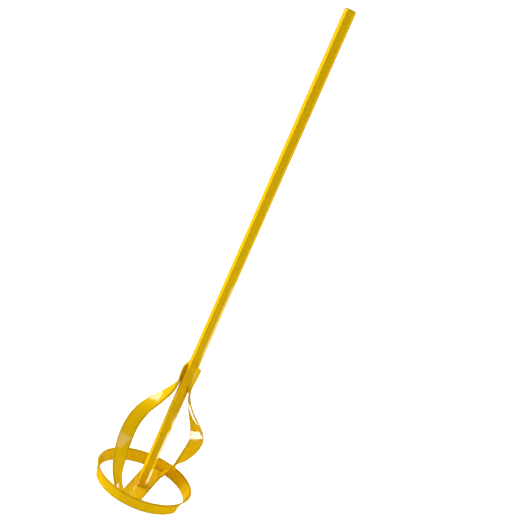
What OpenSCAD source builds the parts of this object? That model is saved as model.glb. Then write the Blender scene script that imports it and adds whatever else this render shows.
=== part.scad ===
// Mortar mixing paddle for a hand drill: a hexagon shaft, two twisted blades and a base ring,
// all of steel bar and strip, welded together and painted.
// Millimetres, +Z up along the shaft. The origin is on the shaft's axis at the ring's bottom edge.

/* [Shaft] */
// Overall height, from the ring's bottom edge to the end of the shank
total_h = 526; // [400:1:650]
// Width of the hexagon bar across its flats
shaft_af = 10; // [8:0.5:12]
// Turn of the hexagon about its axis, from a flat facing the cross bar's end, in degrees
shaft_turn = 13; // [0:1:20]
// Bevel on the edges of the shank's end
shank_chamfer = 0.4; // [0.2:0.1:1.2]

/* [Base ring] */
// Outer diameter at the ring's top edge
ring_top_d = 103; // [100:1:110]
// Outer diameter at the ring's bottom edge
ring_bottom_d = 97; // [94:1:98]
// Height of the ring
ring_h = 13; // [11:0.5:14]
// Thickness of the ring's strip, measured along a radius
ring_t = 2; // [1.5:0.1:2.5]
// Where the rolled strip is closed, in degrees from +X
seam_angle = 31; // [20:1:60]
// Gap between the strip's two ends, which the seam weld fills
seam_gap = 1; // [0.5:0.1:1.5]

/* [Cross bar] */
// Width of the flat bar across the ring
bar_w = 22; // [22:0.5:26]
// Thickness of the flat bar
bar_t = 2; // [1.5:0.1:2.5]

/* [Blades] */
// Width of the blade strip
blade_w = 15; // [13:0.5:16]
// Thickness of the blade strip
blade_t = 2; // [1.5:0.1:2]
// Height of the blades' top ends above the ring's bottom edge
blade_top = 147; // [146:1:154]
// Height that the sheared top end falls across the strip's width
shear_drop = 9; // [0:1:9]

/* [Welds] */
// Leg of the bead round the shaft's foot
foot_leg = 1.5; // [1:0.5:3]
// Leg of the other fillet beads
bead_leg = 2; // [1.5:0.5:2.5]
// Length of the beads beside each blade's top end
top_bead_len = 10; // [6:1:10]
// Length of the beads at the cross bar's ends, between the blades' feet and the bar's far edges
end_bead_len = 14; // [10:1:15]

/* [Hidden] */
$fn = 96;

paint = [0.96, 0.76, 0.03];
weld_paint = [0.80, 0.60, 0.04];

hex_r = shaft_af / sqrt(3);
ring_slope = (ring_top_d - ring_bottom_d) / 2 / ring_h;
bottom_inner_r = ring_bottom_d / 2 - ring_t;
seam_half = asin(seam_gap / ring_top_d);

// The blade's middle line, at evenly spaced heights from its foot to its top end: radius from the
// axis, sweep about the axis from the top end, and turn of the strip's face from facing outwards.
// The last two stations lie flat on the shaft.
tab_r = (shaft_af + blade_t) / 2;
path_r = [38, 42, 43, 41.5, 38, 33, 25, 14.5, 8, tab_r, tab_r];
path_sweep = [93, 79, 73, 64.5, 53.5, 39, 27, 14, -4, 0, 0];
path_turn = [108.5, 108.5, 89.5, 74, 69.5, 69.5, 58.5, 35, 38, 0, 0];
flat_angle = shaft_turn + 150;
last = len(path_r) - 1;
foot_z = bar_t;
rise = (blade_top - foot_z) / last;
rings = 72;

// Station i of a list, carried on in a straight line past both ends
function station(list, i) =
    i < 0 ? 2 * list[0] - list[1] :
    i > last ? 2 * list[last] - list[last - 1] : list[i];

// Smooth value between the stations at height z, a uniform cubic B-spline
function smooth(list, z) =
    let (
        u = (z - foot_z) / rise,
        i = min(floor(u), last - 1),
        t = u - i
    )
    (pow(1 - t, 3) * station(list, i - 1)
        + (3 * t * t * t - 6 * t * t + 4) * station(list, i)
        + (1 + 3 * t + 3 * t * t - 3 * t * t * t) * station(list, i + 1)
        + t * t * t * station(list, i + 2)) / 6;

function around(r, a) = [r * cos(a), r * sin(a), 0];
function path_angle(z) = flat_angle + smooth(path_sweep, z);
function path_point(z) = around(smooth(path_r, z), path_angle(z)) + [0, 0, z];
function face_angle(z) = path_angle(z) + smooth(path_turn, z);
function path_step(z) =
    path_point(min(z + 0.05, blade_top)) - path_point(max(z - 0.05, foot_z));

// Length and thickness of the strip where a level plane cuts it, so that the strip keeps its own
// width and thickness however it leans
function cut_length(z) =
    let (s = path_step(z), across = s * around(1, face_angle(z) + 90) / norm(s))
    blade_w / sqrt(1 - across * across);
function lean(z) =
    let (s = path_step(z))
    s * around(1, face_angle(z)) / s[2];
function cut_thickness(z) = blade_t * sqrt(1 + lean(z) * lean(z));

// Corners of the level cut at height z: chamfered along the strip's long edges. The top end is
// sheared, so the cut tips gradually over the last stretch.
chamfer = 0.35;
function cut_corners(z) =
    let (
        l = cut_length(z) / 2,
        t = cut_thickness(z) / 2,
        c = min(chamfer, t / 2),
        along = around(1, face_angle(z) + 90),
        out = around(1, face_angle(z)),
        tip = shear_drop * max(0, (z - blade_top + 2 * shear_drop) / (2 * shear_drop)) / blade_w
    )
    [for (p = [
        [l, t - c], [l - c, t], [c - l, t], [-l, t - c],
        [-l, c - t], [c - l, -t], [l - c, -t], [l, c - t]
    ])
        path_point(z) + p[0] * along + p[1] * out - [0, 0, p[0] * tip]];

module blade_strip() {
    sides = 8;
    points = [for (k = [0:rings]) each cut_corners(foot_z + (blade_top - foot_z) * k / rings)];
    walls = [
        for (k = [0:rings - 1], j = [0:sides - 1])
            let (a = k * sides + j, b = k * sides + (j + 1) % sides)
            each [[a, a + sides, b], [b, a + sides, b + sides]]
    ];
    ends = [[for (j = [0:sides - 1]) j], [for (j = [sides - 1:-1:0]) rings * sides + j]];
    polyhedron(points = points, faces = concat(walls, ends), convexity = 6);
}

module hex_bar(h) {
    cylinder(h = h, r = hex_r, $fn = 6);
}

// Two opposite flats of the shaft as one slab, with its top edges bevelled
module flat_pair(h) {
    half = shaft_af / 2;
    rotate([90, 0, 0])
    linear_extrude(4 * hex_r, center = true)
        polygon([
            [-half, 0],
            [half, 0],
            [half, h - shank_chamfer],
            [half - shank_chamfer, h],
            [shank_chamfer - half, h],
            [-half, h - shank_chamfer]
        ]);
}

module hex_shaft() {
    h = total_h - bar_t;
    color(paint)
    translate([0, 0, bar_t])
    rotate(shaft_turn + 30)
    intersection() {
        flat_pair(h);
        rotate(60)
            flat_pair(h);
        rotate(120)
            flat_pair(h);
    }
}

module base_ring() {
    color(paint)
    rotate(seam_angle + seam_half)
    rotate_extrude(angle = 360 - 2 * seam_half)
        polygon([
            [bottom_inner_r, 0],
            [bottom_inner_r + ring_t, 0],
            [ring_top_d / 2, ring_h],
            [ring_top_d / 2 - ring_t, ring_h]
        ]);
}

// The space inside the ring up to height h
module ring_inside(h) {
    cylinder(h = h, r1 = bottom_inner_r, r2 = bottom_inner_r + ring_slope * h);
}

module cross_bar() {
    color(paint)
    intersection() {
        translate([-bar_w / 2, -ring_top_d / 2, 0])
            cube([bar_w, ring_top_d, bar_t]);
        ring_inside(bar_t);
    }
}

module blade_1() {
    color(paint)
    blade_strip();
}

module blade_2() {
    color(paint)
    rotate(180)
        blade_strip();
}

// A cone of weld metal with the hexagon bar's own shape taken out of it
module shaft_foot_weld() {
    color(weld_paint)
    translate([0, 0, bar_t])
    difference() {
        cylinder(h = foot_leg, r1 = hex_r + foot_leg, r2 = hex_r + 0.4);
        rotate(shaft_turn)
        translate([0, 0, -1])
            hex_bar(foot_leg + 2);
    }
}

// Fills the gap between the strip's ends and stands a little proud of it inside and outside
module ring_seam_weld() {
    proud = 0.3;
    half = seam_gap / 2 + 1;
    color(weld_paint)
    difference() {
        rotate(seam_angle)
        intersection() {
            rotate_extrude()
                polygon([
                    [bottom_inner_r - proud, 0],
                    [bottom_inner_r + ring_t + proud, 0],
                    [ring_top_d / 2 + proud, ring_h],
                    [ring_top_d / 2 - ring_t - proud, ring_h]
                ]);
            translate([ring_top_d / 2 - 10, -half, 0])
                cube([20, 2 * half, ring_h]);
        }
        base_ring();
    }
}

// A fillet in the corner between the bar's top face and the ring's inner wall
module bar_end_weld(side) {
    inner = bottom_inner_r + ring_slope * bar_t;
    half = asin(end_bead_len / 2 / inner);
    color(weld_paint)
    rotate(side * 90 - half)
    rotate_extrude(angle = 2 * half)
        polygon([
            [inner - bead_leg, bar_t],
            [inner, bar_t],
            [inner + ring_slope * bead_leg, bar_t + bead_leg]
        ]);
}

module bar_end_weld_1() {
    bar_end_weld(-1);
}

module bar_end_weld_2() {
    bar_end_weld(1);
}

// A bead on the bar beside the foot of a blade, leaning as the strip leans
module blade_foot_weld() {
    face = cut_thickness(foot_z) / 2 + 0.15;
    length = blade_w - 4;
    color(weld_paint)
    translate(path_point(foot_z))
    rotate(face_angle(foot_z))
    rotate([90, 0, 0])
    translate([0, 0, -length / 2])
    linear_extrude(length)
        polygon([[face, 0], [face + bead_leg, 0], [face + lean(foot_z) * bead_leg, bead_leg]]);
}

module blade_1_foot_weld() {
    blade_foot_weld();
}

module blade_2_foot_weld() {
    rotate(180)
        blade_foot_weld();
}

// A wedge of weld metal in the corner between a blade's tab and the shaft's next flat
module blade_top_weld(side) {
    corner = [shaft_af / 2, side * hex_r / 2];
    color(weld_paint)
    translate([0, 0, blade_top - shear_drop / 2 - 1 - top_bead_len])
    rotate(flat_angle)
    linear_extrude(top_bead_len)
        polygon([
            corner,
            corner + [0, side * bead_leg],
            corner + bead_leg * [-cos(30), side * sin(30)]
        ]);
}

module blade_1_top_weld_a() {
    blade_top_weld(1);
}

module blade_1_top_weld_b() {
    blade_top_weld(-1);
}

module blade_2_top_weld_a() {
    rotate(180)
        blade_top_weld(1);
}

module blade_2_top_weld_b() {
    rotate(180)
        blade_top_weld(-1);
}

hex_shaft();
base_ring();
cross_bar();
blade_1();
blade_2();
shaft_foot_weld();
ring_seam_weld();
bar_end_weld_1();
bar_end_weld_2();
blade_1_foot_weld();
blade_2_foot_weld();
blade_1_top_weld_a();
blade_1_top_weld_b();
blade_2_top_weld_a();
blade_2_top_weld_b();
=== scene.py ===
"""Mortar mixing paddle: a hexagon shaft, two twisted blades and a base ring, welded and enamelled.

Everything is in metres in the part's own frame: +Z up along the shaft, the origin on the shaft's
axis at the ring's bottom edge. New pieces stand for the plain solids of the same name.
"""

import logging
from dataclasses import dataclass
from enum import Enum

import bpy
import numpy as np
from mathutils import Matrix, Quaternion, Vector


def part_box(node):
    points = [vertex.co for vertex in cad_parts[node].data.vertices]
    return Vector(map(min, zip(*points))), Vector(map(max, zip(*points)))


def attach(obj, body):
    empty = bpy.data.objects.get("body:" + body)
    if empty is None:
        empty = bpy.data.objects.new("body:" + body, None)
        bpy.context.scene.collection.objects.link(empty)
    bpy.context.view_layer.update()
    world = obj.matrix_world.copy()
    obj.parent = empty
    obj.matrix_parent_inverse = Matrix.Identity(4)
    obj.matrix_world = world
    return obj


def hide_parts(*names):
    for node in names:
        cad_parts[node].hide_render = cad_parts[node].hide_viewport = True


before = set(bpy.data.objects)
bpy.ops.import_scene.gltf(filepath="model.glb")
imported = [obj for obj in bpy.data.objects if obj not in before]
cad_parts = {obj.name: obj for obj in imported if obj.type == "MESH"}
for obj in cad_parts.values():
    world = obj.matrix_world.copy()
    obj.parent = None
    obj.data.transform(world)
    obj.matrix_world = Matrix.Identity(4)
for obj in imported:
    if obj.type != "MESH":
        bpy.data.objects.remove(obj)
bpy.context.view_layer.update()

LOG = logging.getLogger("mixing_paddle")
BODY = "root"
# Mesh attribute that darkens the paint: edge wear, and painted shade along edges and in weld
# crevices
EDGE = "edge"
UP = np.array([0.0, 0.0, 1.0])

# Shares of a flat side at which its outline has points, close together beside the round corners
FLAT_SHARES = np.array([0.02, 0.08, 0.2, 0.35, 0.5, 0.65, 0.8, 0.92, 0.98])
# Shares of the outline that close a flat end towards its middle
CAP_SHARES = np.array([0.97, 0.8, 0.45])
# Share of a flat side over which a corner's darkening fades: edge wear, and painted shade
DARKENING_REACH = 0.1
# Rows that turn an end edge through its quarter circle
EASE_ROWS = 5


# ---------------------------------------------------------------------------------------------
# Surfaces
# ---------------------------------------------------------------------------------------------


def around(angle: np.ndarray) -> np.ndarray:
    """Level unit vectors at angles about the shaft: (cos, sin, 0).

    Args:
        angle: angles in radians, of any shape.

    Returns:
        The vectors, with one more axis of length 3.
    """
    return np.stack([np.cos(angle), np.sin(angle), np.zeros_like(angle)], axis=-1)


def rounded_outline(corners: np.ndarray, radius: np.ndarray, steps: int = 5) -> np.ndarray:
    """Outlines of convex polygons with round corners.

    A corner between unit sides u and v that turn by t is cut back by radius * tan(t / 2) and
    becomes the arc centre + radius * (sin(p) * u - cos(p) * left(u)), with p from 0 to t. Each
    flat side then has points at FLAT_SHARES of its length.

    Args:
        corners: corners in counterclockwise order, of shape (rows, corners, 2).
        radius: corner radius of each row.
        steps: segments in each arc.

    Returns:
        Outline points of shape (rows, points, 2).
    """
    side = np.roll(corners, -1, axis=1) - corners
    out = side / np.linalg.norm(side, axis=2, keepdims=True)
    into = np.roll(out, 1, axis=1)
    left = np.stack([-into[..., 1], into[..., 0]], axis=-1)
    turn = np.arctan2((left * out).sum(2), (into * out).sum(2))
    r = radius[:, None]
    start = corners - into * (r * np.tan(turn / 2))[..., None]
    centre = start + left * r[..., None]
    p = turn[..., None] * np.linspace(0, 1, steps + 1)
    arc = (
        np.sin(p)[..., None] * into[:, :, None]
        - np.cos(p)[..., None] * left[:, :, None]
    )
    arc = centre[:, :, None] + arc * r[:, :, None, None]
    first, last = arc[:, :, -1:], np.roll(arc, -1, axis=1)[:, :, :1]
    flat = first + (last - first) * FLAT_SHARES[:, None]
    return np.concatenate([arc, flat], axis=2).reshape(len(corners), -1, 2)


def corner_mask(corners: int, steps: int = 5) -> np.ndarray:
    """How near each outline point is to a corner: 1 on an arc, fading to 0 along the flats.

    Args:
        corners: number of corners of the outline.
        steps: segments in each arc, as in rounded_outline.

    Returns:
        One number for each point of the outline.
    """
    near = np.minimum(FLAT_SHARES, 1 - FLAT_SHARES)
    fade = np.clip(1 - near / DARKENING_REACH, 0, 1)
    return np.tile(np.concatenate([np.ones(steps + 1), fade]), corners)


def rectangle(width: np.ndarray, height: np.ndarray) -> np.ndarray:
    """Corners of centred rectangles, counterclockwise.

    Args:
        width: width of each row's rectangle.
        height: height of each row's rectangle.

    Returns:
        Corners of shape (rows, 4, 2).
    """
    signs = np.array([[1, -1], [1, 1], [-1, 1], [-1, -1]]) / 2
    return signs * np.stack([width, height], axis=-1)[:, None]


def eased_rows(start: float, end: float, rows: int, ease: float) -> tuple[np.ndarray, np.ndarray]:
    """Places along a piece, with both end edges eased by a quarter circle.

    Near an end the place is ease * (1 - sin(p)) from it and the outline is ease * (1 - cos(p))
    smaller all round, with p from a right angle at the end to 0.

    Args:
        start: place of the first end.
        end: place of the last end.
        rows: evenly spaced rows between the eased ends.
        ease: radius of the eased edges.

    Returns:
        The place of each row, and how much smaller its outline is.
    """
    p = np.linspace(np.pi / 2, 0, EASE_ROWS)
    near = ease * (1 - np.sin(p))
    inset = ease * (1 - np.cos(p))
    middle = np.linspace(start + ease, end - ease, rows + 2)[1:-1]
    place = np.concatenate([start + near, middle, end - near[::-1]])
    return place, np.concatenate([inset, np.zeros(rows), inset[::-1]])


def capped(rows: np.ndarray) -> np.ndarray:
    """Adds rows that close both ends towards their middles: middle + share * (row - middle).

    Args:
        rows: outline rows of shape (rows, points, 3).

    Returns:
        The rows with len(CAP_SHARES) more at each end.
    """
    low, high = rows[0].mean(0), rows[-1].mean(0)
    start = low + CAP_SHARES[::-1, None, None] * (rows[0] - low)
    end = high + CAP_SHARES[:, None, None] * (rows[-1] - high)
    return np.concatenate([start, rows, end])


class Skin:
    """A closed surface on a grid of rows and points, made into one mesh object."""

    def __init__(self, rows: np.ndarray, edge: np.ndarray | None = None, looped: bool = False):
        """Keeps the grid and its darkening: edge wear, and painted shade.

        Args:
            rows: points of shape (rows, points, 3). Each row is a closed outline.
            edge: share of darkening at each grid point, of shape (rows, points): edge wear, and
                painted shade along edges and in weld crevices.
            looped: whether the last row joins the first. Otherwise both ends close to a pole.
        """
        self.rows = rows
        self.edge = np.zeros(rows.shape[:2]) if edge is None else edge
        self.looped = looped

    def quads(self) -> np.ndarray:
        """Corner numbers of the grid's four-sided faces.

        Returns:
            Faces of shape (faces, 4): point j of row i, its next, and the same two of row i + 1.
        """
        m, n = self.rows.shape[:2]
        i = np.arange(m if self.looped else m - 1)[:, None]
        j = np.arange(n)[None]
        after, beside = (i + 1) % m, (j + 1) % n
        faces = [i * n + j, i * n + beside, after * n + beside, after * n + j]
        return np.stack(np.broadcast_arrays(*faces), axis=-1).reshape(-1, 4)

    def fans(self) -> np.ndarray:
        """Corner numbers of the triangles that close both ends to a pole.

        Returns:
            Faces of shape (faces, 3), none on a looped skin.
        """
        if self.looped:
            return np.zeros((0, 3), int)
        m, n = self.rows.shape[:2]
        j = np.arange(n)
        beside = (j + 1) % n
        first = np.stack([np.full(n, m * n), beside, j], axis=-1)
        last = np.stack([np.full(n, m * n + 1), (m - 1) * n + j, (m - 1) * n + beside], axis=-1)
        return np.concatenate([first, last])

    def build(self, name: str) -> bpy.types.Object:
        """Makes the mesh, with its faces pointing outwards, and links it to the scene.

        Args:
            name: name of the piece.

        Returns:
            The new object, at the origin.
        """
        points = self.rows.reshape(-1, 3)
        edge = self.edge.ravel()
        if not self.looped:
            points = np.concatenate([points, [self.rows[0].mean(0), self.rows[-1].mean(0)]])
            edge = np.concatenate([edge, [0.0, 0.0]])
        quads, fans = self.quads(), self.fans()
        halves = np.concatenate([quads[:, [0, 1, 2]], quads[:, [0, 2, 3]], fans])
        a, b, c = (points[halves[:, k]] for k in range(3))
        if (np.cross(a, b) * c).sum() < 0:
            quads, fans = quads[:, ::-1], fans[:, ::-1]
        mesh = bpy.data.meshes.new(name)
        mesh.from_pydata(points.tolist(), [], quads.tolist() + fans.tolist())
        mesh.polygons.foreach_set("use_smooth", np.ones(len(mesh.polygons), bool))
        layer = mesh.attributes.new(EDGE, "FLOAT", "POINT")
        layer.data.foreach_set("value", edge.astype(np.float32))
        mesh.update()
        made = bpy.data.objects.new(name, mesh)
        bpy.context.scene.collection.objects.link(made)
        return made


# ---------------------------------------------------------------------------------------------
# Finishes
# ---------------------------------------------------------------------------------------------


class Nodes:
    """A material's node tree, with short ways to add and join nodes."""

    def __init__(self, name: str):
        """Starts an empty material.

        Args:
            name: name of the material.
        """
        self.material = bpy.data.materials.new(name)
        self.material.use_nodes = True
        self.tree = self.material.node_tree
        self.tree.nodes.clear()

    def add(self, kind: str, **settings: object) -> bpy.types.Node:
        """Adds a node and gives it settings.

        Args:
            kind: Blender's name of the node type.
            settings: values of the node's own properties.

        Returns:
            The new node.
        """
        node = self.tree.nodes.new(kind)
        for key, value in settings.items():
            setattr(node, key, value)
        return node

    def link(self, source: bpy.types.NodeSocket, target: bpy.types.NodeSocket) -> None:
        """Joins an output to an input."""
        self.tree.links.new(source, target)

    def noise(
        self, scale: float, detail: float, stretch: tuple = (1, 1, 1)
    ) -> bpy.types.NodeSocket:
        """Adds a noise pattern on the piece's own coordinates.

        Args:
            scale: pattern cells in a metre.
            detail: octaves of finer pattern.
            stretch: factor on each axis, below 1 to draw the pattern out along it.

        Returns:
            The pattern's value, from 0 to 1.
        """
        place = self.add("ShaderNodeTexCoord")
        turn = self.add("ShaderNodeMapping")
        turn.inputs["Scale"].default_value = stretch
        pattern = self.add("ShaderNodeTexNoise")
        pattern.inputs["Scale"].default_value = scale
        pattern.inputs["Detail"].default_value = detail
        self.link(place.outputs["Object"], turn.inputs["Vector"])
        self.link(turn.outputs["Vector"], pattern.inputs["Vector"])
        return pattern.outputs["Fac"]

    def ramp(self, source: bpy.types.NodeSocket, low: tuple, high: tuple) -> bpy.types.NodeSocket:
        """Maps a value from one range to another, held at both ends.

        Args:
            source: the value.
            low: value in, and value out, at the low end.
            high: value in, and value out, at the high end.

        Returns:
            The mapped value.
        """
        node = self.add("ShaderNodeMapRange")
        for key, value in zip(("From Min", "To Min", "From Max", "To Max"), (*low, *high)):
            node.inputs[key].default_value = value
        self.link(source, node.inputs["Value"])
        return node.outputs["Result"]

    def times(self, a: bpy.types.NodeSocket, b: bpy.types.NodeSocket) -> bpy.types.NodeSocket:
        """Multiplies two values.

        Args:
            a: first value.
            b: second value.

        Returns:
            Their product.
        """
        node = self.add("ShaderNodeMath", operation="MULTIPLY")
        self.link(a, node.inputs[0])
        self.link(b, node.inputs[1])
        return node.outputs[0]

    def mix(
        self, share: bpy.types.NodeSocket, a: tuple | bpy.types.NodeSocket, b: tuple
    ) -> bpy.types.NodeSocket:
        """Mixes two colours.

        Args:
            share: share of the second colour.
            a: first colour, as three numbers or a socket.
            b: second colour, as three numbers.

        Returns:
            The mixed colour.
        """
        node = self.add("ShaderNodeMix", data_type="RGBA")
        self.link(share, node.inputs["Factor"])
        if isinstance(a, tuple):
            node.inputs["A"].default_value = (*a, 1)
        else:
            self.link(a, node.inputs["A"])
        node.inputs["B"].default_value = (*b, 1)
        return node.outputs["Result"]

    def bump(
        self, height: bpy.types.NodeSocket, depth: float, under: bpy.types.NodeSocket | None = None
    ) -> bpy.types.NodeSocket:
        """Adds relief to a surface's normal.

        Args:
            height: the pattern, from 0 to 1.
            depth: depth of the relief in metres.
            under: normal from a coarser relief.

        Returns:
            The new normal.
        """
        node = self.add("ShaderNodeBump")
        node.inputs["Distance"].default_value = depth
        self.link(height, node.inputs["Height"])
        if under is not None:
            self.link(under, node.inputs["Normal"])
        return node.outputs["Normal"]


@dataclass(frozen=True)
class Enamel:
    """Glossy stoving enamel on steel, darker where the edge attribute says: thinner paint along
    sharp edges, and painted shade along them and in the welds' crevices.

    The colour wanders between two close yellows. Relief is a slow flow of the wet paint with the
    finer skin of orange peel on it. Every scale is in pattern cells to the metre, and every span
    is the part of a pattern's range that is put to use.
    """

    REFRACTION = 1.5
    SPECULAR = 0.5
    COAT = 0.1
    COAT_ROUGHNESS = 0.05
    CLOUD_SCALE = 35.0
    CLOUD_SPAN = (0.35, 0.7)
    # Noise that breaks up the darkening: edge wear, with painted shade along edges and in weld
    # crevices
    DARKENING_SCALE = 420.0
    DARKENING_SPAN = (0.3, 0.65)
    LEAST_DARKENING = 0.35
    DULL_SCALE = 90.0
    DULL_SPAN = (0.3, 0.7)

    name: str
    colour: tuple = (0.97, 0.6, 0.0006)
    deep: tuple = (0.93, 0.55, 0.0005)
    # Darker colour mixed in by the edge attribute: thin paint at edges, and painted shade
    worn_and_shaded: tuple = (0.36, 0.23, 0.003)
    roughness: tuple = (0.07, 0.13)
    edge_share: float = 0.7
    flow_scale: float = 60.0
    flow_depth: float = 0.00005
    peel_scale: float = 700.0
    peel_depth: float = 0.000006
    stretch: tuple = (1, 1, 1)

    def material(self) -> bpy.types.Material:
        """Builds the enamel's nodes.

        Returns:
            The material.
        """
        nodes = Nodes(self.name)
        shader = nodes.add("ShaderNodeBsdfPrincipled")
        end = nodes.add("ShaderNodeOutputMaterial")
        nodes.link(shader.outputs["BSDF"], end.inputs["Surface"])
        shader.inputs["IOR"].default_value = self.REFRACTION
        shader.inputs["Specular IOR Level"].default_value = self.SPECULAR
        shader.inputs["Coat Weight"].default_value = self.COAT
        shader.inputs["Coat Roughness"].default_value = self.COAT_ROUGHNESS

        cloud = nodes.noise(self.CLOUD_SCALE, 3.0, self.stretch)
        low, high = self.CLOUD_SPAN
        body = nodes.mix(nodes.ramp(cloud, (low, 0.0), (high, 1.0)), self.colour, self.deep)
        # The edge attribute mixes in the darker colour: edge wear, and painted shade along edges and
        # in the welds' crevices
        darkening = nodes.add("ShaderNodeAttribute", attribute_name=EDGE)
        patchiness = nodes.noise(self.DARKENING_SCALE, 4.0)
        low, high = self.DARKENING_SPAN
        broken = nodes.ramp(patchiness, (low, self.LEAST_DARKENING), (high, self.edge_share))
        nodes.link(
            nodes.mix(nodes.times(darkening.outputs["Fac"], broken), body, self.worn_and_shaded),
            shader.inputs["Base Color"],
        )
        low, high = self.DULL_SPAN
        smooth, dull = self.roughness
        rough = nodes.ramp(nodes.noise(self.DULL_SCALE, 5.0), (low, smooth), (high, dull))
        nodes.link(rough, shader.inputs["Roughness"])
        flow = nodes.bump(nodes.noise(self.flow_scale, 1.0, self.stretch), self.flow_depth)
        peel = nodes.bump(nodes.noise(self.peel_scale, 2.0), self.peel_depth, flow)
        nodes.link(peel, shader.inputs["Normal"])
        nodes.link(peel, shader.inputs["Coat Normal"])
        return nodes.material


class Finish(Enum):
    """The finishes on the paddle, each with the record's slot that it belongs to."""

    STRIP = (Enamel("strip_enamel"), "paint")
    BAR = (Enamel("bar_enamel", roughness=(0.24, 0.38)), "paint")
    SHAFT = (
        Enamel("shaft_enamel", stretch=(1, 1, 0.15), flow_depth=0.00002, peel_depth=0.000003),
        "paint",
    )
    WELD = (
        Enamel(
            "weld_enamel",
            colour=(0.9, 0.54, 0.002),
            deep=(0.7, 0.4, 0.002),
            worn_and_shaded=(0.3, 0.17, 0.004),
            roughness=(0.14, 0.3),
            flow_scale=260.0,
            flow_depth=0.00012,
            peel_depth=0.00001,
        ),
        "weld_paint",
    )

    def dress(self, piece: bpy.types.Object, node: str) -> bpy.types.Object:
        """Gives a piece this finish, and sets it in the place of its plain solid.

        Args:
            piece: the finished piece.
            node: name of the solid that it stands for.

        Returns:
            The piece.
        """
        enamel, slot = self.value
        material = bpy.data.materials.get(enamel.name) or enamel.material()
        piece.data.materials.append(material)
        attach(piece, BODY)
        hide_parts(node)
        LOG.info("%s: %d faces, %s", piece.name, len(piece.data.polygons), enamel.name)
        return piece


# ---------------------------------------------------------------------------------------------
# Steel parts
# ---------------------------------------------------------------------------------------------


@dataclass
class HexShaft:
    """The hexagon bar that the drill's chuck grips, with its drawn corners just rounded."""

    BEVEL_SHARES = np.linspace(0.15, 1, 6)

    across_flats: float = 0.010
    turn: float = np.radians(13)
    corner_radius: float = 0.0006
    bevel: float = 0.0004
    ease: float = 0.00015
    # Share of corner darkening: edge wear, with painted shade on the rounded corners
    darkening: float = 0.45
    rows: int = 160

    def wall(self, angle: np.ndarray) -> np.ndarray:
        """Distance from the axis to the wall: half the width over cos(angle off the flat).

        Args:
            angle: angles about the shaft in radians.

        Returns:
            The distances in metres.
        """
        sixth = np.pi / 3
        off = (angle - self.turn) % sixth - sixth / 2
        return self.across_flats / 2 / np.cos(off)

    def build(self) -> bpy.types.Object:
        """Carries the rounded hexagon up the axis, and bevels its top edge.

        A row's corners lie (half the width - inset) / cos(30 degrees) from the axis. On the bevel
        the inset grows as fast as the height.

        Returns:
            The shaft.
        """
        low, high = (corner.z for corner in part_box("hex_shaft"))
        place, _ = eased_rows(low, high - self.bevel, self.rows, self.ease)
        bevel = self.BEVEL_SHARES * self.bevel
        inset = np.concatenate([np.zeros_like(place), bevel])
        place = np.concatenate([place, high - self.bevel + bevel])
        corners = around(self.turn + np.arange(6) * np.pi / 3)[:, :2]
        size = (self.across_flats / 2 - inset) / np.cos(np.pi / 6)
        outline = rounded_outline(corners * size[:, None, None], self.corner_radius - inset / 2)
        level = np.broadcast_to(place[:, None, None], (*outline.shape[:2], 1))
        rows = capped(np.concatenate([outline, level], axis=2))
        # Darker corners: edge wear, with painted shade
        edge = np.broadcast_to(corner_mask(6) * self.darkening, rows.shape[:2])
        return Finish.SHAFT.dress(Skin(rows, edge).build("shaft_bar"), "hex_shaft")


@dataclass
class BaseRing:
    """A flat strip rolled into a slightly conical ring, open at its seam."""

    bottom_radius: float = 0.0485
    top_radius: float = 0.0515
    height: float = 0.013
    thickness: float = 0.002
    seam: float = np.radians(31)
    seam_gap: float = 0.001
    edge_radius: float = 0.0006
    steps: int = 300

    @property
    def slope(self) -> float:
        """How far the wall moves outwards for each metre that it rises."""
        return (self.top_radius - self.bottom_radius) / self.height

    def inner(self, z: float) -> float:
        """Radius of the inner wall at a height."""
        return self.bottom_radius - self.thickness + self.slope * z

    def build(self) -> bpy.types.Object:
        """Carries the strip's rounded outline round the axis, from one end of the seam to the other.

        Its point (r, z) lands at r * (cos(angle), sin(angle)) and height z. Towards the seam the
        outline's corners move inwards, which eases both cut ends.

        Returns:
            The ring.
        """
        half = self.seam_gap / 2 / self.top_radius
        angle, inset = eased_rows(self.seam + half, self.seam + 2 * np.pi - half, self.steps, half)
        shrink = inset / half * self.edge_radius / 2
        corner = np.array([
            [self.inner(0), 0.0],
            [self.bottom_radius, 0.0],
            [self.top_radius, self.height],
            [self.inner(self.height), self.height],
        ])
        pull = np.array([[1, 1], [-1, 1], [-1, -1], [1, -1]])
        corners = corner + pull * shrink[:, None, None]
        outline = rounded_outline(corners, self.edge_radius - shrink / 2)
        rows = outline[..., :1] * around(angle)[:, None] + outline[..., 1:] * UP
        rows = capped(rows)
        # Darker rounded edges: edge wear, with painted shade
        edge = np.broadcast_to(corner_mask(4), rows.shape[:2])
        return Finish.STRIP.dress(Skin(rows, edge).build("ring_strip"), "base_ring")


@dataclass
class CrossBar:
    """The flat bar across the ring, cut to the ring's inner wall."""

    ring: BaseRing
    width: float = 0.022
    thickness: float = 0.002
    edge_radius: float = 0.0005
    rows: int = 120

    def build(self) -> bpy.types.Object:
        """Places a point (x, z) of the bar's outline at y = share * sqrt(wall(z)^2 - x^2).

        Returns:
            The bar.
        """
        ones = np.ones(1)
        outline = rounded_outline(
            rectangle(ones * self.width, ones * self.thickness), ones * self.edge_radius
        )[0] + [0, self.thickness / 2]
        x, z = outline[:, 0], outline[:, 1]
        share = np.linspace(-1, 1, self.rows)[:, None]
        y = share * np.sqrt(self.ring.inner(z) ** 2 - x**2)
        rows = capped(np.stack(np.broadcast_arrays(x, y, z), axis=-1))
        # Darker rounded edges: edge wear, with painted shade
        edge = np.broadcast_to(corner_mask(4), rows.shape[:2])
        return Finish.BAR.dress(Skin(rows, edge).build("bar_strip"), "cross_bar")


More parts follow.
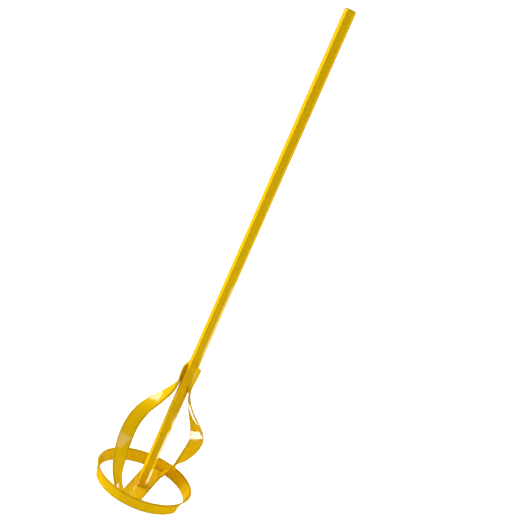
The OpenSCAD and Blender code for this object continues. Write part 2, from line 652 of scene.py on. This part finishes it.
@dataclass
class Blade:
    """A strip that leaves the shaft, bulges out as it twists, and comes down on the cross bar.

    Its middle line is a uniform cubic B-spline through stations at even heights, each a radius
    from the axis, a sweep about it from the top end, and a turn of the strip's face from facing
    outwards. Every level cut through the strip is a straight line.
    """

    number: int
    width: float = 0.015
    thickness: float = 0.002
    foot: float = 0.002
    top: float = 0.147
    shear_drop: float = 0.009
    edge_radius: float = 0.0006
    ease: float = 0.0003
    flat_angle: float = np.radians(163)
    rows: int = 220

    RADII = (38, 42, 43, 41.5, 38, 33, 25, 14.5, 8, 6, 6)
    SWEEPS = (93, 79, 73, 64.5, 53.5, 39, 27, 14, -4, 0, 0)
    TURNS = (108.5, 108.5, 89.5, 74, 69.5, 69.5, 58.5, 35, 38, 0, 0)
    # Half the height of the short step that gives the middle line's direction
    REACH = 0.00005

    def smooth(self, stations: tuple, z: np.ndarray) -> np.ndarray:
        """Value between the stations at a height, as a uniform cubic B-spline.

        With t the share of the way from station i to the next, it is the sum of the four nearest
        stations times (1 - t)^3, 3 t^3 - 6 t^2 + 4, 1 + 3 t + 3 t^2 - 3 t^3 and t^3, over 6. The
        list is carried on in a straight line past both ends.

        Args:
            stations: the values at even heights from foot to top.
            z: heights in metres.

        Returns:
            The values at the heights.
        """
        s = np.array(stations, float)
        s = np.concatenate([[2 * s[0] - s[1]], s, [2 * s[-1] - s[-2]]])
        u = (z - self.foot) / (self.top - self.foot) * (len(stations) - 1)
        i = np.clip(np.floor(u).astype(int), 0, len(stations) - 2)
        t = u - i
        weights = (
            (1 - t) ** 3,
            3 * t**3 - 6 * t**2 + 4,
            1 + 3 * t + 3 * t**2 - 3 * t**3,
            t**3,
        )
        return sum(w * s[i + k] for k, w in enumerate(weights)) / 6

    @property
    def spin(self) -> float:
        """Turn of this blade about the shaft from the first one."""
        return (self.number - 1) * np.pi

    def middle(self, z: np.ndarray) -> np.ndarray:
        """Points of the middle line: radius * (cos, sin) of the sweep angle, at height z."""
        angle = self.flat_angle + self.spin + np.radians(self.smooth(self.SWEEPS, z))
        return around(angle) * (self.smooth(self.RADII, z) / 1000)[:, None] + z[:, None] * UP

    def facing(self, z: np.ndarray) -> np.ndarray:
        """Direction that the strip's face looks in at a height, in radians about the shaft."""
        turned = self.smooth(self.SWEEPS, z) + self.smooth(self.TURNS, z)
        return self.flat_angle + self.spin + np.radians(turned)

    def lean(self, z: np.ndarray) -> np.ndarray:
        """How far the strip moves towards its face for each metre that it rises.

        Args:
            z: heights in metres.

        Returns:
            The lean at each height.
        """
        return (self.step(z) * around(self.facing(z))).sum(1) / self.step(z)[:, 2]

    def step(self, z: np.ndarray) -> np.ndarray:
        """A short step along the middle line, between heights just above and just below z."""
        return self.middle(z + self.REACH) - self.middle(z - self.REACH)

    def build(self) -> bpy.types.Object:
        """Carries the strip's level cut up the middle line.

        A cut's width grows by 1 / sqrt(1 - c^2), with c the step's share along the cut, and its
        thickness by sqrt(1 + lean^2), so that the strip keeps its own width and thickness. The
        top end is sheared: along the last stretch one long edge falls below the other.

        Returns:
            The blade.
        """
        z, inset = eased_rows(self.foot - self.ease, self.top, self.rows, self.ease)
        out = around(self.facing(z))
        along = np.cross(UP, out)
        step = self.step(z)
        c = (step * along).sum(1) / np.linalg.norm(step, axis=1)
        outline = rounded_outline(
            rectangle(self.width - 2 * inset, self.thickness - 2 * inset),
            self.edge_radius - inset / 2,
        )
        across = outline[..., 0] / np.sqrt(1 - c**2)[:, None]
        through = outline[..., 1] * np.sqrt(1 + self.lean(z) ** 2)[:, None]
        reach = 2 * self.shear_drop
        tip = self.shear_drop * np.maximum(0, (z - self.top + reach) / reach) / self.width
        rows = (
            self.middle(z)[:, None]
            + across[..., None] * along[:, None]
            + through[..., None] * out[:, None]
            - (across * tip[:, None])[..., None] * UP
        )
        rows = capped(rows)
        # Darker rounded edges: edge wear, with painted shade
        edge = np.broadcast_to(corner_mask(4), rows.shape[:2])
        name = f"blade_{self.number}"
        return Finish.STRIP.dress(Skin(rows, edge).build(f"{name}_strip"), name)


# ---------------------------------------------------------------------------------------------
# Welds
# ---------------------------------------------------------------------------------------------


@dataclass
class Bead:
    """A weld bead in the corner between two walls, with the ripples of its run.

    Along the run the bead's section is corner + leg * (a * cos(p)^q + b * sin(p)^q), with a and b
    the directions up the two walls and p from 0 to a right angle. The leg swells by
    ripple * cos(2 pi * (run / pitch) - lag * sin(2 p)), so each ripple is a crescent. SLOW and
    QUICK are the unsteady hand's own swells, each radians to the metre and a share of the leg. The
    leg of an open run is also multiplied by sqrt(1 - share^TAPER), with share from -1 to 1 along
    it, so that both ends come down round. Painted shade darkens the toes and the ripples' valleys.
    """

    MEAN = 0.94
    SLOW = (900, 0.06)
    QUICK = (2300, 0.03)
    TAPER = 8
    END_SHARE = 0.02
    # Shares of painted shade at the bead's toes and in the valleys between its ripples
    TOE_SHADE = 0.5
    VALLEY_SHADE = 0.6

    name: str
    leg: float = 0.0017
    pitch: float = 0.0011
    ripple: float = 0.04
    lag: float = 1.6
    fullness: float = 1.3
    sink: float = 0.0003
    points: int = 14

    def build(
        self, corner: np.ndarray, a: np.ndarray, b: np.ndarray, looped: bool
    ) -> bpy.types.Object:
        """Carries the section along the corner.

        Args:
            corner: points along the corner, of shape (rows, 3).
            a: unit directions up the first wall.
            b: unit directions up the second wall.
            looped: whether the run closes on itself.

        Returns:
            The bead.
        """
        run = np.concatenate([[0], np.cumsum(np.linalg.norm(np.diff(corner, axis=0), axis=1))])
        p = np.linspace(0, np.pi / 2, self.points)
        wave = np.cos(2 * np.pi * run[:, None] / self.pitch - self.lag * np.sin(2 * p))
        slow, slow_share = self.SLOW
        quick, quick_share = self.QUICK
        hand = np.sin(run * slow + len(self.name)) * slow_share + np.sin(run * quick) * quick_share
        leg = self.leg * (self.MEAN + hand[:, None] + self.ripple * wave)
        if not looped:
            share = run / run[-1] * 2 - 1
            leg = leg * np.sqrt(np.clip(1 - share**self.TAPER, self.END_SHARE, 1))[:, None]
        arc = (
            a[:, None] * (leg * np.cos(p) ** self.fullness)[..., None]
            + b[:, None] * (leg * np.sin(p) ** self.fullness)[..., None]
        )
        root = corner - self.sink * (a + b)
        side_a = corner[:, None] + arc[:, :1] - self.sink * b[:, None]
        side_b = corner[:, None] + arc[:, -1:] - self.sink * a[:, None]
        rows = np.concatenate([root[:, None], side_a, corner[:, None] + arc, side_b], axis=1)
        toe = np.concatenate([[0, 1], np.abs(np.cos(2 * p)) ** 3, [1]])
        none = np.zeros((len(run), 1))
        valley = np.concatenate([none, none, (1 - wave) / 2, none], axis=1)
        # Painted shade at the toes and in the ripples' valleys
        edge = np.clip(self.TOE_SHADE * toe + self.VALLEY_SHADE * valley, 0, 1)
        made = Skin(rows, edge, looped).build(f"{self.name}_bead")
        return Finish.WELD.dress(made, self.name)


@dataclass
class SeamBead:
    """The weld that closes the ring's seam, a rippled oval tube up the slanting wall."""

    ring: BaseRing
    proud: float = 0.00015
    overlap: float = 0.0009
    ease: float = 0.0006
    pitch: float = 0.0013
    lag: float = 1.2
    ripple: float = 0.05
    darkening: float = 0.3
    rows: int = 110
    points: int = 40

    def build(self) -> bpy.types.Object:
        """Carries the oval middle + thick * cos(p) * out + wide * sin(p) * beside up the wall.

        Both half sides swell by ripple * cos(2 pi * (height / pitch) - lag * |sin(p)|).

        Returns:
            The bead.
        """
        ring = self.ring
        z, inset = eased_rows(0.0, ring.height, self.rows, self.ease)
        p = np.linspace(0, 2 * np.pi, self.points, endpoint=False)
        wave = np.cos(2 * np.pi * z[:, None] / self.pitch - self.lag * np.abs(np.sin(p)))
        out, beside = around(np.array(ring.seam)), around(np.array(ring.seam + np.pi / 2))
        middle = out * (ring.inner(z) + ring.thickness / 2)[:, None] + z[:, None] * UP
        thick = ring.thickness / 2 + self.proud - inset
        wide = ring.seam_gap / 2 + self.overlap - inset
        swell = 1 + self.ripple * wave
        rows = (
            middle[:, None]
            + (thick[:, None] * swell * np.cos(p))[..., None] * out
            + (wide[:, None] * swell * np.sin(p))[..., None] * beside
        )
        rows = capped(rows)
        edge = np.full(rows.shape[:2], self.darkening)
        return Finish.WELD.dress(Skin(rows, edge).build("ring_seam_bead"), "ring_seam_weld")


@dataclass
class Welds:
    """Every weld on the paddle, each in the corner that it fills."""

    SHAFT_ROWS = 360
    BLUR_STEPS = 13
    BAR_END_ROWS = 150
    BLADE_FOOT_ROWS = 110
    BLADE_TOP_ROWS = 130

    shaft: HexShaft
    ring: BaseRing
    bar: CrossBar
    blades: tuple
    shaft_leg: float = 0.0012
    shaft_blur: float = 0.09
    bar_end_length: float = 0.014
    blade_foot_leg: float = 0.0016
    blade_foot_margin: float = 0.002
    blade_top_leg: float = 0.0018
    blade_top_length: float = 0.010
    blade_top_drop: float = 0.001

    def shaft_foot(self) -> bpy.types.Object:
        """The bead round the shaft's foot, on the cross bar.

        Its run keeps, at each angle, the mean distance of the shaft's wall between shaft_blur before
        and after that angle, and so goes round the hexagon's corners in a bend.

        Returns:
            The bead.
        """
        angle = np.linspace(0, 2 * np.pi, self.SHAFT_ROWS, endpoint=False)
        beside = np.linspace(-self.shaft_blur, self.shaft_blur, self.BLUR_STEPS)
        wall = np.mean([self.shaft.wall(angle + k) for k in beside], axis=0)
        out = around(angle)
        corner = out * wall[:, None] + self.bar.thickness * UP
        up = np.broadcast_to(UP, out.shape)
        bead = Bead("shaft_foot_weld", leg=self.shaft_leg)
        return bead.build(corner, out, up, looped=True)

    def bar_end(self, number: int) -> bpy.types.Object:
        """A bead in the corner between the bar's top face and the ring's inner wall.

        Args:
            number: 1 at the bar's -Y end and 2 at its +Y end.

        Returns:
            The bead.
        """
        wall = self.ring.inner(self.bar.thickness)
        half = np.arcsin(self.bar_end_length / 2 / wall)
        angle = (2 * number - 3) * np.pi / 2 + np.linspace(-half, half, self.BAR_END_ROWS)
        out = around(angle)
        up = out * self.ring.slope + UP
        up /= np.linalg.norm(up, axis=1, keepdims=True)
        corner = out * wall + self.bar.thickness * UP
        return Bead(f"bar_end_weld_{number}").build(corner, -out, up, looped=False)

    def blade_foot(self, blade: Blade) -> bpy.types.Object:
        """A bead on the bar beside a blade's foot, leaning as the strip leans.

        Args:
            blade: the blade.

        Returns:
            The bead.
        """
        z = np.array([blade.foot])
        out = around(blade.facing(z))[0]
        lean = blade.lean(z)[0]
        face = blade.thickness / 2 * np.sqrt(1 + lean**2)
        up = UP + out * lean
        along = np.cross(UP, out)
        run = np.linspace(-1, 1, self.BLADE_FOOT_ROWS)[:, None]
        run = run * (blade.width / 2 - self.blade_foot_margin)
        corner = blade.middle(z)[0] + out * face + along * run
        shape = corner.shape
        bead = Bead(f"blade_{blade.number}_foot_weld", leg=self.blade_foot_leg)
        return bead.build(
            corner,
            np.broadcast_to(out, shape),
            np.broadcast_to(up / np.linalg.norm(up), shape),
            looped=False,
        )

    def blade_top(self, blade: Blade, side: int) -> bpy.types.Object:
        """A bead in the corner between a blade's tab and the shaft's next flat.

        Args:
            blade: the blade.
            side: 1 or -1, the side of the tab.

        Returns:
            The bead.
        """
        top = blade.top - blade.shear_drop / 2 - self.blade_top_drop
        facing = blade.flat_angle + blade.spin
        out = around(np.array(facing))
        along = side * np.cross(UP, out)
        down_flat = along * np.sin(np.pi / 6) - out * np.cos(np.pi / 6)
        half = self.shaft.across_flats / 2
        z = np.linspace(top - self.blade_top_length, top, self.BLADE_TOP_ROWS)[:, None] * UP
        corner = out * half + along * half * np.tan(np.pi / 6) + z
        shape = corner.shape
        letter = "a" if side > 0 else "b"
        bead = Bead(f"blade_{blade.number}_top_weld_{letter}", leg=self.blade_top_leg)
        return bead.build(
            corner,
            np.broadcast_to(along, shape),
            np.broadcast_to(down_flat, shape),
            looped=False,
        )

    def build(self) -> None:
        """Makes every bead in turn."""
        self.shaft_foot()
        SeamBead(self.ring).build()
        for number in (1, 2):
            self.bar_end(number)
        for blade in self.blades:
            self.blade_foot(blade)
            for side in (1, -1):
                self.blade_top(blade, side)


# ---------------------------------------------------------------------------------------------
# Studio
# ---------------------------------------------------------------------------------------------


class Role(Enum):
    """What a light panel does, as (lights the paint, shows in the gloss)."""

    GLOW = (True, False)
    SHEEN = (False, True)


@dataclass(frozen=True)
class Panel:
    """A soft rectangular light, placed by the direction and distance from what it looks at."""

    name: str
    azimuth: float
    elevation: float
    distance: float
    width: float
    height: float
    radiance: float
    role: Role
    target: tuple = (0.0, 0.0, 0.08)

    def build(self) -> bpy.types.Object:
        """Makes the light, hidden from the camera.

        Returns:
            The light.
        """
        light = bpy.data.lights.new(self.name, "AREA")
        light.shape = "RECTANGLE"
        light.size = self.width
        light.size_y = self.height
        light.energy = self.radiance * np.pi * self.width * self.height
        made = bpy.data.objects.new(self.name, light)
        bpy.context.scene.collection.objects.link(made)
        back = direction(self.azimuth, self.elevation)
        made.location = Vector(self.target) + back * self.distance
        made.rotation_mode = "QUATERNION"
        made.rotation_quaternion = (-back).to_track_quat("-Z", "Y")
        made.visible_camera = False
        made.visible_diffuse, made.visible_glossy = self.role.value
        return made


def direction(azimuth: float, elevation: float) -> Vector:
    """The way from a target to what stands at an azimuth and elevation, in degrees.

    Args:
        azimuth: 0 is towards -Y and 90 is towards +X.
        elevation: angle above the floor.

    Returns:
        A unit vector.
    """
    a, e = np.radians(azimuth), np.radians(elevation)
    return Vector((np.sin(a) * np.cos(e), -np.cos(a) * np.cos(e), np.sin(e)))


@dataclass(frozen=True)
class Viewpoint:
    """The camera, by what it looks at, its direction and distance, and its tilt to one side."""

    aim: tuple = (0.0166, 0.0023, 0.2731)
    azimuth: float = 7.90
    elevation: float = 17.14
    roll: float = 24.08
    distance: float = 1.267
    lens: float = 91.25
    sensor: float = 36.0
    near: float = 0.01
    far: float = 200.0

    def build(self) -> bpy.types.Object:
        """Makes the camera and gives it to the scene.

        Returns:
            The camera.
        """
        data = bpy.data.cameras.new("camera")
        data.sensor_fit = "HORIZONTAL"
        data.sensor_width = self.sensor
        data.lens = self.lens
        data.clip_start = self.near
        data.clip_end = self.far
        made = bpy.data.objects.new("camera", data)
        bpy.context.scene.collection.objects.link(made)
        back = direction(self.azimuth, self.elevation)
        made.location = Vector(self.aim) + back * self.distance
        made.rotation_mode = "QUATERNION"
        tilt = Quaternion((0, 0, 1), np.radians(self.roll))
        made.rotation_quaternion = (-back).to_track_quat("-Z", "Y") @ tilt
        bpy.context.scene.camera = made
        return made


@dataclass
class Studio:
    """A white floor, a white surround, soft panels and the camera."""

    floor_size: float = 60.0
    floor_lines: int = 9
    floor_colour: tuple = (0.8, 0.8, 0.8, 1)
    floor_roughness: float = 0.9
    floor_lift: float = 0.9
    surround: float = 0.32
    gloss_surround: float = 0.02
    seen_surround: float = 1.05
    panels: tuple = (
        Panel("key_left", -98, 20, 1.3, 0.9, 0.9, 5.2, Role.GLOW),
        Panel("key_gloss", -98, 28, 1.3, 0.66, 0.5, 6.5, Role.SHEEN),
        Panel("fill_right", 100, 8, 1.6, 1.0, 1.0, 3.5, Role.GLOW),
        Panel("top_left", -60, 70, 1.5, 1.2, 1.0, 2.3, Role.GLOW),
        Panel("bounce_right", 90, -50, 1.5, 1.2, 1.0, 2.6, Role.GLOW),
        Panel("bounce_left", -60, -60, 1.5, 1.2, 1.0, 2.8, Role.GLOW),
        Panel("front_right", 42, 38, 1.6, 0.65, 0.85, 1.8, Role.SHEEN),
        Panel("back_foot", 138, -27, 1.12, 0.22, 0.24, 2.6, Role.SHEEN, (0.0, 0.0, 0.0)),
        Panel("back_shaft", 135, -9.5, 1.01, 0.16, 0.14, 1.2, Role.SHEEN, (0.0, 0.0, 0.0)),
        Panel("back_blade", 151, 6.3, 1.0, 0.34, 0.13, 4.5, Role.SHEEN, (0.0, 0.0, 0.0)),
        Panel("low_back", -176, -47, 1.0, 0.8, 0.5, 4.0, Role.SHEEN),
        Panel("back_ring", 164, -33, 1.0, 0.46, 0.22, 7.0, Role.SHEEN, (0.049, -0.01, 0.006)),
        Panel("below", -60, -82, 1.0, 0.5, 0.38, 9.0, Role.SHEEN),
    )

    def floor(self) -> bpy.types.Object:
        """Makes the pale floor, a grid so wide that its edge isn't seen.

        Returns:
            The floor.
        """
        line = np.linspace(-self.floor_size / 2, self.floor_size / 2, self.floor_lines)
        x, y = np.meshgrid(line, line)
        points = np.stack([x, y, np.zeros_like(x)], axis=-1).reshape(-1, 3)
        n = len(line)
        i = (np.arange(n - 1)[:, None] * n + np.arange(n - 1)).reshape(-1)
        faces = np.stack([i, i + 1, i + n + 1, i + n], axis=-1)
        mesh = bpy.data.meshes.new("floor")
        mesh.from_pydata(points.tolist(), [], faces.tolist())
        made = bpy.data.objects.new("floor", mesh)
        bpy.context.scene.collection.objects.link(made)
        nodes = Nodes("floor_paper")
        paper = nodes.add("ShaderNodeBsdfPrincipled")
        paper.inputs["Base Color"].default_value = self.floor_colour
        paper.inputs["Roughness"].default_value = self.floor_roughness
        paper.inputs["Specular IOR Level"].default_value = 0.0
        glow = nodes.add("ShaderNodeEmission")
        seen = nodes.add("ShaderNodeLightPath")
        nodes.link(
            nodes.ramp(seen.outputs["Is Camera Ray"], (0, 0), (1, self.floor_lift)),
            glow.inputs["Strength"],
        )
        both = nodes.add("ShaderNodeAddShader")
        nodes.link(paper.outputs["BSDF"], both.inputs[0])
        nodes.link(glow.outputs["Emission"], both.inputs[1])
        end = nodes.add("ShaderNodeOutputMaterial")
        nodes.link(both.outputs["Shader"], end.inputs["Surface"])
        mesh.materials.append(nodes.material)
        made.visible_glossy = False
        made.visible_shadow = False
        return made

    def world(self) -> None:
        """Sets the surround: white where it is seen, dim where it lights the paddle."""
        world = bpy.data.worlds.new("surround")
        bpy.context.scene.world = world
        world.use_nodes = True
        tree = world.node_tree
        tree.nodes.clear()
        seen = tree.nodes.new("ShaderNodeLightPath")
        lit = self.strength(tree, seen.outputs["Is Glossy Ray"], self.surround, self.gloss_surround)
        shown = self.strength(tree, seen.outputs["Is Camera Ray"], None, self.seen_surround)
        tree.links.new(lit, shown.node.inputs["To Min"])
        back = tree.nodes.new("ShaderNodeBackground")
        back.inputs["Color"].default_value = (1, 1, 1, 1)
        end = tree.nodes.new("ShaderNodeOutputWorld")
        tree.links.new(shown, back.inputs["Strength"])
        tree.links.new(back.outputs["Background"], end.inputs["Surface"])

    @staticmethod
    def strength(
        tree: bpy.types.NodeTree, when: bpy.types.NodeSocket, off: float | None, on: float
    ) -> bpy.types.NodeSocket:
        """Adds a switch between two strengths.

        Args:
            tree: the surround's node tree.
            when: 1 for the rays that get the second strength.
            off: first strength, or None where it is joined later.
            on: second strength.

        Returns:
            The strength.
        """
        switch = tree.nodes.new("ShaderNodeMapRange")
        if off is not None:
            switch.inputs["To Min"].default_value = off
        switch.inputs["To Max"].default_value = on
        tree.links.new(when, switch.inputs["Value"])
        return switch.outputs["Result"]

    def build(self) -> None:
        """Sets up the floor, the surround, the lights and the camera."""
        scene = bpy.context.scene
        scene.view_settings.view_transform = "Standard"
        scene.view_settings.look = "None"
        scene.cycles.use_denoising = True
        self.floor()
        self.world()
        for panel in self.panels:
            panel.build()
        Viewpoint().build()
        LOG.info("studio: %d panels", len(self.panels))


def main() -> None:
    """Builds the studio, then the paddle from its shaft down to its welds."""
    logging.basicConfig(level=logging.INFO, format="%(name)s: %(message)s")
    Studio().build()
    shaft, ring = HexShaft(), BaseRing()
    bar = CrossBar(ring)
    blades = (Blade(1), Blade(2))
    shaft.build()
    ring.build()
    bar.build()
    for blade in blades:
        blade.build()
    Welds(shaft, ring, bar, blades).build()


if __name__ == "__main__":
    main()
